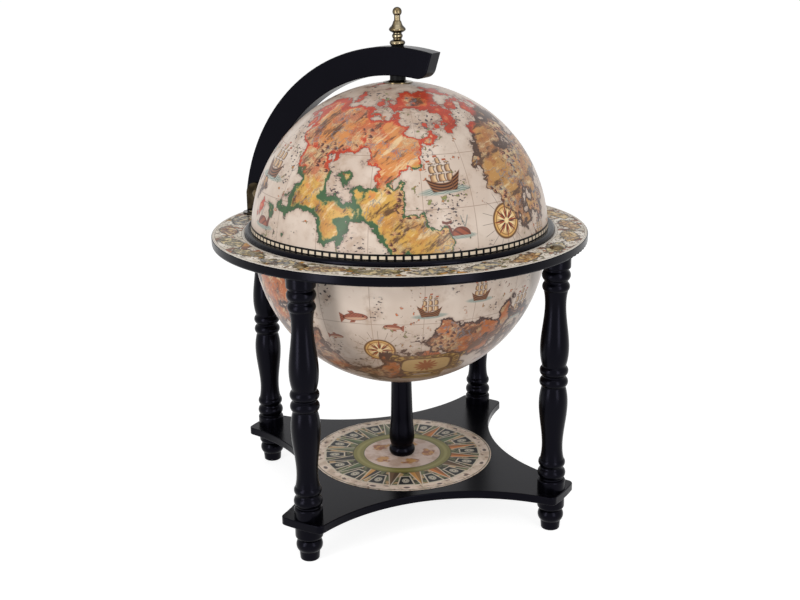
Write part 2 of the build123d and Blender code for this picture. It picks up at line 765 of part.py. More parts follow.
# ================================================================ hinge
# Bracket: a plate with round ends and two round-topped cheeks for the pin.
with BuildPart() as hinge_bracket:
    with BuildSketch(Plane.XY.offset(print_top)):
        with Locations((0, hinge_y)):
            SlotOverall(plate_length, plate_width)
    extrude(amount=plate_thickness)
    fillet(hinge_bracket.faces().sort_by(Axis.Z)[-1].edges(), plate_edge_rounding)
    with BuildSketch(Plane.XY.offset(print_top)):
        with Locations((-plate_screw_offset, hinge_y), (plate_screw_offset, hinge_y)):
            Circle(plate_screw_radius + screw_clearance)
    extrude(amount=plate_thickness, mode=Mode.SUBTRACT)
    for side in (-1, 1):
        with BuildPart(mode=Mode.PRIVATE) as cheek:
            with BuildSketch(Plane.YZ.offset(side * cheek_inside)):
                with Locations((hinge_y, hinge_z)):
                    Circle(cheek_radius)
                with Locations((hinge_y, print_top)):
                    Rectangle(2 * cheek_radius, hinge_z - print_top,
                              align=(Align.CENTER, Align.MIN))
                with Locations((hinge_y, hinge_z)):
                    Circle(hinge_pin_radius + pilot_fit, mode=Mode.SUBTRACT)
            extrude(amount=side * cheek_thickness)
            outer_face = cheek.faces().filter_by(Axis.X).sort_by(Axis.X)[-1 if side > 0 else 0]
            rim = outer_face.outer_wire().edges()
            fillet(rim.filter_by(Axis.Y, reverse=True), cheek_edge_rounding)
        add(cheek.part)
save(hinge_bracket.part, "hinge_bracket")

with BuildPart() as hinge_pin:
    with BuildSketch(Plane.XY):
        with BuildLine():
            middle = Line((0, 0), (hinge_pin_radius, 0))
            shank = Line(middle @ 1, (hinge_pin_radius, cheek_outside))
            seat = Line(shank @ 1, (hinge_head_radius, cheek_outside))
            dome = cap(hinge_head_radius, cheek_outside, hinge_head_height)
            core = Line(dome @ 1, middle @ 0)
        make_face()
    revolve(axis=Axis.Y)
    mirror(about=Plane.XZ)
hinge_pin.part.orientation = (0, 0, 90)
hinge_pin.part.position = (0, hinge_y, hinge_z)
save(hinge_pin.part, "hinge_pin")

with BuildPart() as bracket_screws:
    with BuildSketch(Plane.XY.offset(plate_top)):
        with Locations((-plate_screw_offset, hinge_y), (plate_screw_offset, hinge_y)):
            Circle(plate_screw_head_radius)
    extrude(amount=plate_screw_head_height)
    fillet(bracket_screws.faces().sort_by(Axis.Z)[-2:].edges(), plate_screw_rounding)
    with BuildSketch(Plane.XY.offset(plate_top)):
        with Locations((-plate_screw_offset, hinge_y), (plate_screw_offset, hinge_y)):
            Circle(plate_screw_radius)
    extrude(amount=-(plate_thickness + print_thickness + plate_screw_depth))
save(bracket_screws.part, "bracket_screws")
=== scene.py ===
"""Looks of the tabletop globe bar: camera, studio, printed papers, lacquer and brass."""
import json
import math

import bpy
from mathutils import Matrix, Vector

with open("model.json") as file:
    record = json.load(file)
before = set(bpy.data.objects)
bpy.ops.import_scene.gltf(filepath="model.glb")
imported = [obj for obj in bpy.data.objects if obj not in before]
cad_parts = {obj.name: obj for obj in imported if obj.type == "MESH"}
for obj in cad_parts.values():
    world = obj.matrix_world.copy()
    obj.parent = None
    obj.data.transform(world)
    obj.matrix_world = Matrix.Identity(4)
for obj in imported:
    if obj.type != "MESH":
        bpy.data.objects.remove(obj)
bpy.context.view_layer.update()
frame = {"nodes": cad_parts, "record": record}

# ---------------------------------------------------------------- sizes, metres
LID_CENTRE = 0.3167
LID_RADIUS = 0.1645
BOWL_CENTRE = 0.3105
BOWL_RADIUS = 0.1632
SHELL_WALL = 0.004
RING_INNER = 0.1723
RING_OUTER = 0.2071
MEDALLION_RADIUS = 0.1043
BAND_BOTTOM = 0.3253
SQUARE_LOW, SQUARE_HIGH = 0.0005, 0.0038    # from the band's bottom
BAND_SQUARES = 122
RING_PANELS = 22
MEDALLION_POINTS = 16

# ---------------------------------------------------------------- relief and gloss
FIBRE_SCALE = 260.0         # of the relief of the printed sheets
PAPER_DEPTH = 0.0001        # of that relief, in metres
VARNISHED_DEPTH = 0.00006
PAPER_GLOSS = {"IOR": 1.3, "Specular_IOR_Level": 0.35}
DARK_GLOSS = {"IOR": 1.3, "Specular_IOR_Level": 0.25}
VARNISH_GLOSS = {"IOR": 1.35, "Specular_IOR_Level": 0.45}
LACQUER_GLOSS = {"IOR": 1.28, "Specular_IOR_Level": 0.23}
LACQUER_SHEEN = (0.72, 0.7, 1.0, 1.0)

# ---------------------------------------------------------------- palette, 0 to 255
PAPER = (201, 183, 168)
PAPER_PALE = (214, 198, 184)
PAPER_AGED = (166, 138, 116)
INK = (56, 42, 40)
UMBER = (78, 54, 44)
PLUM = (92, 66, 66)
SEPIA = (140, 112, 96)
SLATE = (112, 122, 130)
RUST = (160, 80, 50)


def linear(color):
    """An RGBA tuple for a socket, from red, green and blue as a picture stores them."""
    parts = [c / 255 for c in color]
    plain = [c / 12.92 if c <= 0.04045 else ((c + 0.055) / 1.055) ** 2.4 for c in parts]
    return (*plain, 1.0)


# ---------------------------------------------------------------- node algebra
class Value:
    """An output of a shader node. Arithmetic on it adds nodes to the same tree."""

    def __init__(self, socket):
        self.socket = socket
        self.tree = socket.id_data

    def __add__(self, other):
        return number("ADD", self, other)

    def __radd__(self, other):
        return number("ADD", other, self)

    def __sub__(self, other):
        return number("SUBTRACT", self, other)

    def __rsub__(self, other):
        return number("SUBTRACT", other, self)

    def __mul__(self, other):
        return number("MULTIPLY", self, other)

    def __rmul__(self, other):
        return number("MULTIPLY", other, self)

    def __truediv__(self, other):
        return number("DIVIDE", self, other)

    def __neg__(self):
        return number("MULTIPLY", self, -1.0)

    def __abs__(self):
        return number("ABSOLUTE", self)


def feed(term, socket):
    """Give a socket a value from another node, or a plain one."""
    if isinstance(term, Value):
        term.tree.links.new(term.socket, socket)
    else:
        socket.default_value = term


def number(operation, *terms):
    """One Math node."""
    tree = next(term.tree for term in terms if isinstance(term, Value))
    node = tree.nodes.new("ShaderNodeMath")
    node.operation = operation
    for term, socket in zip(terms, node.inputs):
        feed(term, socket)
    return Value(node.outputs[0])


def vector(operation, *terms, output="Vector"):
    """One Vector Math node."""
    tree = next(term.tree for term in terms if isinstance(term, Value))
    node = tree.nodes.new("ShaderNodeVectorMath")
    node.operation = operation
    for term, socket in zip(terms, node.inputs):
        feed(term, socket)
    return Value(node.outputs[output])


def dot(a, b):
    return vector("DOT_PRODUCT", a, b, output="Value")


def length(a):
    return vector("LENGTH", a, output="Value")


def scaled(a, factor):
    """A vector times a plain number."""
    return vector("MULTIPLY", a, (factor, factor, factor))


def split(a):
    """The three numbers in a vector or colour."""
    node = a.tree.nodes.new("ShaderNodeSeparateXYZ")
    feed(a, node.inputs[0])
    return [Value(output) for output in node.outputs]


def joined(x, y, z):
    """A vector from three numbers."""
    tree = next(term.tree for term in (x, y, z) if isinstance(term, Value))
    node = tree.nodes.new("ShaderNodeCombineXYZ")
    for term, socket in zip((x, y, z), node.inputs):
        feed(term, socket)
    return Value(node.outputs[0])


def sine(a):
    return number("SINE", a)


def cosine(a):
    return number("COSINE", a)


def root(a):
    return number("SQRT", a)


def part_of(a):
    """How far a is past the whole number below it."""
    return number("FRACT", a)


def least(a, b):
    return number("MINIMUM", a, b)


def most(a, b):
    return number("MAXIMUM", a, b)


def angle(y, x):
    return number("ARCTAN2", y, x)


def rise(a, start, end):
    """0 below start, 1 above end, smooth between; start above end falls instead."""
    node = a.tree.nodes.new("ShaderNodeMapRange")
    node.interpolation_type = "SMOOTHSTEP"
    feed(a, node.inputs["Value"])
    feed(start, node.inputs["From Min"])
    feed(end, node.inputs["From Max"])
    return Value(node.outputs["Result"])


def below(a, edge, soft):
    """1 where a is under edge, 0 where it is over."""
    return rise(a, edge + soft, edge - soft)


def line(a, half_width, soft):
    """1 where a is within half_width of 0."""
    return below(abs(a), half_width, soft)


def between(a, low, high, soft):
    return below(a, high, soft) * rise(a, low - soft, low + soft)


def noise(where, scale, detail=2.0, roughness=0.5):
    """Cloudy noise from 0 to 1 about 0.5."""
    node = where.tree.nodes.new("ShaderNodeTexNoise")
    feed(where, node.inputs["Vector"])
    node.inputs["Scale"].default_value = scale
    node.inputs["Detail"].default_value = detail
    node.inputs["Roughness"].default_value = roughness
    return Value(node.outputs["Fac"])


def clouds(where, scale, detail, roughness):
    """Three such noises at once, as a vector."""
    fog = noise(where, scale, detail, roughness)
    return Value(fog.socket.node.outputs["Color"])


def cells(where, scale, jitter):
    """Scattered cells: a random colour for each, the cell's centre, and the distance to it."""
    node = where.tree.nodes.new("ShaderNodeTexVoronoi")
    feed(where, node.inputs["Vector"])
    node.inputs["Scale"].default_value = scale
    node.inputs["Randomness"].default_value = jitter
    return [Value(node.outputs[name]) for name in ("Color", "Position", "Distance")]


def paint(under, over, mask):
    """One colour over another where the mask is 1."""
    tree = next(term.tree for term in (under, over, mask) if isinstance(term, Value))
    node = tree.nodes.new("ShaderNodeMixRGB")
    for term, name in ((mask, "Fac"), (under, "Color1"), (over, "Color2")):
        feed(linear(term) if isinstance(term, tuple) else term, node.inputs[name])
    return Value(node.outputs["Color"])


def choose(a, *colors):
    """A colour for each equal step of a from 0 to 1."""
    node = a.tree.nodes.new("ShaderNodeValToRGB")
    node.color_ramp.interpolation = "CONSTANT"
    stops = node.color_ramp.elements
    while len(stops) < len(colors):
        stops.new(0.5)
    for index, color in enumerate(colors):
        stops[index].position = index / len(colors)
        stops[index].color = linear(color)
    feed(a, node.inputs["Fac"])
    return Value(node.outputs["Color"])


def start(name):
    """A new material, and the place that it is shaded at, in metres in the part's frame."""
    material = bpy.data.materials.new(name)
    material.use_nodes = True
    node = material.node_tree.nodes.new("ShaderNodeTexCoord")
    return material, Value(node.outputs["Object"])


def coat(material, color, roughness, relief, depth, **plain):
    """Feed a material's one shader: colour, roughness, relief, its depth in metres, settings."""
    shader = material.node_tree.nodes["Principled BSDF"]
    feed(color, shader.inputs["Base Color"])
    feed(roughness, shader.inputs["Roughness"])
    bump = material.node_tree.nodes.new("ShaderNodeBump")
    bump.inputs["Distance"].default_value = depth
    feed(relief, bump.inputs["Height"])
    material.node_tree.links.new(bump.outputs["Normal"], shader.inputs["Normal"])
    for name, value in plain.items():
        shader.inputs[name.replace("_", " ")].default_value = value
    return material


# ---------------------------------------------------------------- map drawing
GREEN_LAND, RED_LAND, BROWN_LAND, DARK_LAND = 0.0, 1.0, 2.0, 3.0
COAST = 0.5                     # height of the land at its coast
STREAK_PLACE = (-130, 35)       # longitude and latitude where the streaks of the land run true
STREAK_SLOPE = 0.6
GRATICULE = 9 / math.pi         # lines to a radian: one each 20 degrees


def direction(longitude, latitude):
    """The unit vector of a place on a globe, in degrees, and its east and north."""
    lon, lat = math.radians(longitude), math.radians(latitude)
    out = Vector((math.cos(lat) * math.cos(lon), math.cos(lat) * math.sin(lon), math.sin(lat)))
    east = Vector((-math.sin(lon), math.cos(lon), 0.0))
    return out, east, out.cross(east)


def stations(place, reach, spots):
    """Flat coordinates about the nearest of some spots on the globe, and 1 close to one.

    Spots are longitude, latitude and tilt in degrees, and size as a share of the globe's
    radius; a size below 0 mirrors. They lie too far apart for their reach to overlap.
    """
    across, up, near = 0.0, 0.0, 0.0
    for longitude, latitude, tilt, size in spots:
        out, east, north = direction(longitude, latitude)
        lean = math.radians(tilt)
        right = (east * math.cos(lean) + north * math.sin(lean)) / size
        top = (north * math.cos(lean) - east * math.sin(lean)) / abs(size)
        gap = length(vector("SUBTRACT", place, tuple(out)))
        inside = number("LESS_THAN", gap, abs(size) * reach)
        across = across + dot(place, tuple(right)) * inside
        up = up + dot(place, tuple(top)) * inside
        near = near + inside
    return across, up, near


def survey(place, masses):
    """How far inland a place is, over COAST on land, and its kind of land.

    Masses are longitude, latitude and spread in degrees, height and kind.
    """
    wide = vector("SUBTRACT", clouds(place, 2.1, 3.0, 0.55), (0.5, 0.5, 0.5))
    fine = vector("SUBTRACT", clouds(place, 8.0, 5.0, 0.65), (0.5, 0.5, 0.5))
    drift = vector("ADD", scaled(wide, 0.62), scaled(fine, 0.2))
    bent = vector("ADD", place, drift)
    total, kinds = 0.001, 0.0
    for longitude, latitude, spread, height, kind in masses:
        out = direction(longitude, latitude)[0]
        nearness = (dot(bent, tuple(out)) - 1.0) * (1.0 / (1.0 - math.cos(math.radians(spread))))
        lift = height * number("EXPONENT", nearness)
        total = total + lift
        kinds = kinds + lift * kind
    return total + (noise(place, 7.0, 8.0, 0.68) - 0.5) * 0.75, kinds / total


def waves(color, u, v, near):
    """Rows of short waves in an oval patch of sea."""
    patch = below(u * u * 0.55 + (v + 0.72) * (v + 0.72) * 20.0, 0.8, 0.35) * near
    rows = line(sine(v * 34.0 + sine(u * 9.0) * 1.2), 0.6, 0.25)
    color = paint(color, (150, 164, 154), patch * 0.7)
    return paint(color, (92, 112, 108), rows * patch * 0.8)


def ship(color, u, v, near):
    """A three-masted ship under sail, about 2 high."""
    color = waves(color, u, v, near)
    mast = number("ROUND", u * 2.5)
    beside = u - mast * 0.4
    tall = 0.95 - abs(mast) * 0.22
    rigged = near * below(abs(mast), 1.5, 0.1)
    color = paint(color, UMBER, line(beside, 0.02, 0.02) * between(v, -0.4, tall, 0.03) * rigged)
    tier = part_of((v + 0.34) * 2.2) - 0.5
    belly = beside - 0.05 + tier * tier * 0.3
    wide = 0.19 - (v + 0.3) * 0.07
    canvas = below(abs(tier), 0.43, 0.05) * between(v, -0.32, tall - 0.05, 0.03) * rigged
    color = paint(color, UMBER, below(abs(belly), wide, 0.03) * canvas)
    cloth = paint((216, 182, 140), (134, 94, 66), rise(belly, -0.1, 0.14))
    inner = below(abs(belly), wide - 0.045, 0.03) * below(abs(tier), 0.36, 0.05)
    color = paint(color, cloth, inner * canvas)
    deck = v + 0.38 - u * u * 0.5 - below(u, -0.42, 0.04) * 0.14
    side = abs(u) - 0.66 - (v + 0.6) * 0.35
    hull = below(deck, 0.0, 0.03) * rise(v, -0.8, -0.74) * below(side, 0.0, 0.04) * near
    planks = paint((132, 86, 56), (56, 36, 30), line(part_of(deck * 7.0) - 0.5, 0.24, 0.14))
    color = paint(color, planks, hull)
    pennant = between(v, tall, tall + 0.1, 0.02) * between(beside, 0.0, 0.22, 0.02)
    return paint(color, RUST, pennant * rigged)


def whale(color, u, v, near):
    """A spouting whale with a raised tail, in its patch of waves."""
    color = waves(color, u, v, near)
    low = v + 0.66
    back = root((u - 0.1) * (u - 0.1) * 1.9 + low * low * 3.2)
    stem = line(u + 0.62 + low * low * 0.4, 0.13, 0.04) * between(low, 0.0, 0.72, 0.04)
    fluke = line(low - 0.84 - abs(u + 0.86) * 0.35, 0.09, 0.04) * line(u + 0.86, 0.34, 0.04)
    shape = most(most(below(back, 1.0, 0.05), fluke), stem) * rise(low, -0.05, 0.0) * near
    color = paint(color, (150, 84, 62), shape)
    shade = rise(sine(u * 9.0 + low * 14.0), 0.2, 0.8) + rise(back, 0.7, 1.0)
    color = paint(color, (84, 52, 48), least(shade, 1.0) * shape * 0.75)
    jet = line(abs(u - 0.42) - (low - 0.45) * 0.5 + low * low * 0.1, 0.035, 0.03)
    return paint(color, (104, 118, 116), jet * between(low, 0.5, 1.3, 0.05) * near * 0.8)


def fish(color, u, v, near):
    """A plump fish, about 2 long."""
    bend = v + u * u * 0.1
    size = root(u * u * 1.5 + bend * bend * 13.0)
    tail = below(abs(bend) + (u + 0.55) * 0.8, 0.0, 0.05) * between(u, -1.05, -0.62, 0.03)
    fins = below(abs(u - 0.02 + abs(bend) * 0.7), 0.17, 0.04) * below(abs(bend), 0.44, 0.03)
    shape = most(most(below(size, 1.0, 0.05), tail), fins) * near
    color = paint(color, (158, 92, 72), shape)
    rows = line(sine(u * 26.0) - sine(bend * 34.0), 0.5, 0.3)
    color = paint(color, (92, 54, 50), rows * shape * 0.6)
    belly = below(bend, -0.05, 0.05) * below(size, 0.9, 0.06)
    color = paint(color, (214, 176, 146), belly * near * 0.7)
    color = paint(color, (82, 50, 46), line(size - 0.98, 0.05, 0.04) * shape)
    return paint(color, INK, below(length(joined(u - 0.52, bend - 0.06, 0.0)), 0.06, 0.03) * near)


def rose(color, across, up, near):
    """A compass rose of 16 points with its rhumb lines."""
    reach = root(across * across + up * up)
    bearing = angle(across, up)
    soft = 0.05
    spikes = below(abs(sine(bearing * 8.0)) * reach, 0.09, 0.05) * between(reach, 1.05, 1.75, 0.05)
    color = paint(color, (72, 50, 42), spikes * near * 0.9)
    disc = below(reach, 1.0, soft) * near
    glow = paint((240, 218, 168), (212, 162, 92), rise(reach, 0.35, 0.95))
    color = paint(color, glow, disc)
    color = paint(color, (150, 104, 54), line(reach - 0.78, 0.03, 0.03) * near)
    for count, long, fat, shift in ((16, 0.8, 0.75, math.pi / 16), (8, 0.95, 0.9, 0.0)):
        turn = (bearing + shift) * (count / 2)
        body = below(reach - long + abs(sine(turn)) * fat, 0.0, soft) * disc
        half = rise(sine(turn) * cosine(turn), -0.05, 0.05)
        color = paint(color, paint((164, 84, 50), (84, 42, 36), half), body)
    color = paint(color, (104, 72, 44), line(reach - 0.97, 0.06, 0.04) * near)
    return paint(color, (238, 214, 160), below(reach, 0.17, soft) * near)


def cartouche(color, u, v, near):
    """A scrolled frame with a shell crest on a pedestal, about 2 wide."""
    side = abs(u)
    soft = 0.03
    mottle = noise(joined(u, v, 0.0), 7.0, 3.0)
    gold = paint((190, 152, 88), (112, 96, 54), rise(mottle, 0.42, 0.58))
    dark = (70, 48, 36)
    pedestal = below(most(side - 0.62, abs(v + 0.86) - 0.2), 0.0, soft) * near
    color = paint(color, dark, pedestal)
    ledge = line(part_of((v + 0.86) * 5.0) - 0.5, 0.3, 0.1) * below(side, 0.56, soft)
    color = paint(color, (176, 146, 92), pedestal * ledge)
    crest_up = v - 0.42
    crest = root(u * u + crest_up * crest_up)
    ribs = line(sine(angle(u, crest_up) * 9.0), 0.3, 0.2)
    shell = below(crest, 0.4 + ribs * 0.03, soft) * rise(crest_up, -0.02, 0.02) * near
    color = paint(color, paint((174, 96, 60), (84, 52, 40), ribs), shell)
    for x, y, reach in ((0.98, 0.38, 0.24), (1.0, -0.36, 0.28), (0.46, -0.62, 0.2)):
        out, down = side - x, v - y
        far = root(out * out + down * down)
        curl = line(part_of(far * 6.0 + angle(down, out) * 0.159) - 0.5, 0.2, 0.1)
        color = paint(color, paint(gold, dark, curl), below(far, reach, soft) * near)
    bulge = number("POWER", side, 4.0) + number("POWER", abs(v) * 1.8, 4.0)
    color = paint(color, dark, below(bulge, 1.25, 0.1) * near)
    color = paint(color, gold, below(bulge, 1.0, 0.1) * near)
    studs = line(part_of(angle(u, v * 1.8) * (12 / math.pi)) - 0.5, 0.22, 0.1)
    color = paint(color, (92, 58, 40), studs * between(bulge, 0.5, 0.9, 0.06) * near)
    color = paint(color, dark, below(bulge, 0.42, 0.06) * near)
    color = paint(color, (196, 164, 112), below(bulge, 0.26, 0.05) * near)
    far = root(u * u + v * v)
    rays = below(far - abs(sine(angle(u, v) * 6.0)) * 0.2, 0.16, 0.03)
    return paint(color, (150, 84, 52), rays * near)


def land_color(place, east, north, height, kind, stain):
    """The colour of land: its fields, hills and streaks, then the wash along its coast."""
    red, brown, dark = rise(kind, 0.42, 0.58), rise(kind, 1.42, 1.58), rise(kind, 2.42, 2.58)

    def by_kind(*colors):
        mixed = colors[0]
        for color, share in zip(colors[1:], (red, brown, dark)):
            mixed = paint(mixed, color, share)
        return mixed

    warp = noise(place, 9.0, 6.0, 0.7)
    color = by_kind((200, 156, 80), (204, 134, 76), (182, 136, 80), (182, 104, 58))
    color = paint(color, (220, 196, 152), rise(noise(place, 4.4, 5.0, 0.62), 0.45, 0.57) * 0.8)
    wash = by_kind((184, 126, 66), (192, 92, 56), (164, 102, 58), (160, 84, 50))
    color = paint(color, wash, rise(warp, 0.48, 0.57) * 0.75)
    out, right, top = direction(*STREAK_PLACE)
    along = (right + top * STREAK_SLOPE).normalized()
    slant = joined(
        dot(place, tuple(along)) * 1.6, dot(place, tuple(out.cross(along))) * 9.0,
        dot(place, tuple(out)) * 5.0,
    )
    streak = noise(slant, 1.6, 6.0, 0.72)
    color = paint(color, (76, 52, 42), rise(streak, 0.51, 0.61) * 0.9)
    color = paint(color, (226, 204, 160), rise(streak, 0.45, 0.36) * 0.7)
    hatch = line(sine(height * 70.0 + warp * 34.0), 0.4, 0.3) * rise(stain, 0.45, 0.51)
    color = paint(color, PLUM, hatch * 0.75)
    foot_of_hill = cells(place, 21.0, 0.8)[1]
    bump = vector("SUBTRACT", place, foot_of_hill)
    u, v = dot(bump, east) * 34.0, dot(bump, north) * 34.0
    hill = below(v - 0.45 + u * u * 1.1, 0.0, 0.12) * rise(v, -0.6, -0.4)
    shade = paint((190, 138, 100), (84, 50, 48), rise(u + sine(v * 14.0) * 0.2, -0.25, 0.1))
    ranges = rise(noise(place, 4.2, 3.0, 0.6), 0.49, 0.53)
    color = paint(color, shade, hill * ranges)
    rivers = line(noise(place, 3.4, 5.0, 0.6) - 0.5, 0.006, 0.005)
    color = paint(color, SLATE, rivers * 0.7)

    inland = height - COAST + (warp - 0.5) * 0.7
    deep = 0.7 - red * 0.16 + dark * 0.1
    inner = by_kind((134, 134, 78), (204, 98, 60), (134, 92, 66), (112, 70, 58))
    color = paint(color, inner, below(inland, deep + 0.26, 0.2) * 0.8)
    belt = by_kind((50, 88, 60), (182, 62, 42), (76, 58, 50), (54, 42, 44))
    belt = paint(belt, INK, rise(streak, 0.49, 0.6) * 0.35)
    color = paint(color, belt, below(inland, deep, 0.1) * 0.93)
    return paint(color, INK, below(height, COAST + 0.024, 0.012) * 0.85)


def chart(name, centre, radius, masses, motifs):
    """Antique map for one half of the globe; the shell's inside is plain dark lacquer."""
    material, where = start(name)
    offset = vector("SUBTRACT", where, (0.0, 0.0, centre))
    place = vector("NORMALIZE", offset)
    x, y, z = split(place)
    longitude = angle(y, x)
    latitude = number("ARCSINE", z)
    east = vector("NORMALIZE", joined(-y, x, 0.0))
    north = vector("CROSS_PRODUCT", place, east)
    height, kind = survey(place, masses)

    # paper: stained, darker near the land, with a graticule
    stain = noise(place, 4.4, 7.0, 0.68)
    color = paint(PAPER_PALE, PAPER, rise(noise(place, 1.7, 3.0, 0.6), 0.38, 0.56))
    color = paint(color, PAPER_AGED, rise(stain, 0.48, 0.7) * 0.7)
    color = paint(color, PAPER_AGED, rise(height, 0.12, 0.46) * 0.45)
    meridians = line(part_of(longitude * GRATICULE + 0.5) - 0.5, 0.006, 0.006)
    meridians = meridians * below(abs(z), 0.97, 0.01)
    parallels = line(part_of(latitude * GRATICULE + 0.5) - 0.5, 0.006, 0.006)
    color = paint(color, SEPIA, most(meridians, parallels) * 0.7)

    # open sea: shoals, then the motifs
    grain = noise(vector("MULTIPLY", place, (1.0, 1.0, 1.7)), 44.0, 2.0, 0.4)
    shoals = rise(noise(place, 4.6, 2.0), 0.55, 0.62) * rise(grain, 0.6, 0.63)
    color = paint(color, (58, 48, 54), shoals * 0.95)
    islet = noise(place, 27.0, 3.0, 0.6)
    group = rise(noise(place, 3.1, 1.0), 0.5, 0.58)
    earth = paint((196, 110, 66), (124, 128, 76), rise(stain, 0.44, 0.54))
    color = paint(color, INK, rise(islet, 0.615, 0.625) * group * 0.8)
    color = paint(color, earth, rise(islet, 0.635, 0.65) * group)
    for draw, reach, spots in motifs:
        color = draw(color, *stations(place, reach, spots))

    # coast: short strokes in the water, then the land
    strokes = line(sine(latitude * 260.0 + stain * 14.0), 0.55, 0.3)
    shallows = between(height, COAST - 0.085, COAST, 0.012)
    color = paint(color, (112, 96, 96), shallows * (0.25 + strokes * 0.5))
    land = land_color(place, east, north, height, kind, stain)
    color = paint(color, land, rise(height, COAST - 0.006, COAST + 0.006))

    # darker and browner towards the foot of the globe
    color = paint(color, (126, 92, 64), below(z, -0.5, 0.4) * (0.3 + stain * 0.45))

    inside = below(length(offset), radius - SHELL_WALL / 2, 0.0004)
    color = paint(color, (58, 30, 20), inside)
    roughness = 0.25 + noise(where, 900.0, 2.0) * 0.1
    relief = noise(where, FIBRE_SCALE, 3.0)
    return coat(material, color, roughness, relief, VARNISHED_DEPTH, **VARNISH_GLOSS)


# ---------------------------------------------------------------- globe
UPPER_LANDS = [
    (-164, 72, 20, 0.80, RED_LAND), (-128, 60, 15, 0.75, RED_LAND),
    (-181, 50, 12, 0.65, RED_LAND), (-150, 46, 9, 0.55, RED_LAND),
    (-176, 20, 17, 0.85, GREEN_LAND), (-150, 12, 14, 0.75, GREEN_LAND),
    (-205, 6, 12, 0.60, GREEN_LAND), (-134, 23, 8, 0.45, GREEN_LAND),
    (-98, 46, 17, 0.80, BROWN_LAND), (-82, 24, 12, 0.70, BROWN_LAND),
    (-112, 33, 8, 0.50, BROWN_LAND), (40, 26, 24, 0.85, GREEN_LAND),
    (5, 9, 13, 0.60, GREEN_LAND), (-25, 52, 21, 0.80, RED_LAND),
    (82, 52, 18, 0.70, BROWN_LAND), (132, 16, 13, 0.60, BROWN_LAND),
]
UPPER_MOTIFS = [
    (rose, 1.9, [(-106, 13, 0, 0.11), (86, 14, 0, 0.11), (-38, 16, 0, 0.11)]),
    (ship, 1.6, [(-216, 33, 0, 0.14), (-131, 32, 4, -0.13), (-84, 6, -4, 0.09), (118, 42, 0, 0.14),
                 (60, 4, 0, 0.12), (-56, 40, 0, -0.13), (-154, 27, 0, 0.075)]),
    (whale, 1.6, [(-127, 14, 0, 0.09), (-211, 13, 0, -0.1), (110, 8, 0, 0.12), (-8, 30, 0, 0.11)]),
]
LOWER_LANDS = [
    (-206, -16, 12, 0.80, DARK_LAND), (-182, -46, 14, 0.85, DARK_LAND),
    (-119, -25, 12, 0.85, DARK_LAND), (-76, -42, 15, 0.80, DARK_LAND),
    (20, -20, 20, 0.85, BROWN_LAND), (75, -44, 15, 0.70, GREEN_LAND),
    (125, -24, 12, 0.75, DARK_LAND),
]
LOWER_MOTIFS = [
    (rose, 1.9, [(-158, -33, 0, 0.1), (52, -14, 0, 0.1)]),
    (fish, 1.15, [(-166, -17, 4, 0.1), (-152, -21, -6, -0.07), (-176, -27, 0, 0.06),
                  (-98, -46, 8, 0.08), (0, -44, 0, 0.1)]),
    (ship, 1.6, [(-94, -19, 0, 0.12), (-99, -36, 0, -0.085), (-40, -22, 0, 0.12),
                 (-138, -13, 2, 0.09), (-118, -9, -2, -0.08)]),
    (cartouche, 1.5, [(-136, -44, 0, 0.22), (-20, -40, 0, 0.22)]),
]

lid_print = chart("lid_map", LID_CENTRE, LID_RADIUS, UPPER_LANDS, UPPER_MOTIFS)
bowl_print = chart("bowl_map", BOWL_CENTRE, BOWL_RADIUS, LOWER_LANDS, LOWER_MOTIFS)


# ---------------------------------------------------------------- flat prints
def polar(where):
    """The distance from the globe's axis, the angle about it, and the height."""
    x, y, z = split(where)
    return root(x * x + y * y), angle(y, x), z


def tossed(cell):
    """A scattered number from 0 to 1 for each whole number."""
    return part_of(sine(cell * 12.9898) * 437.58)


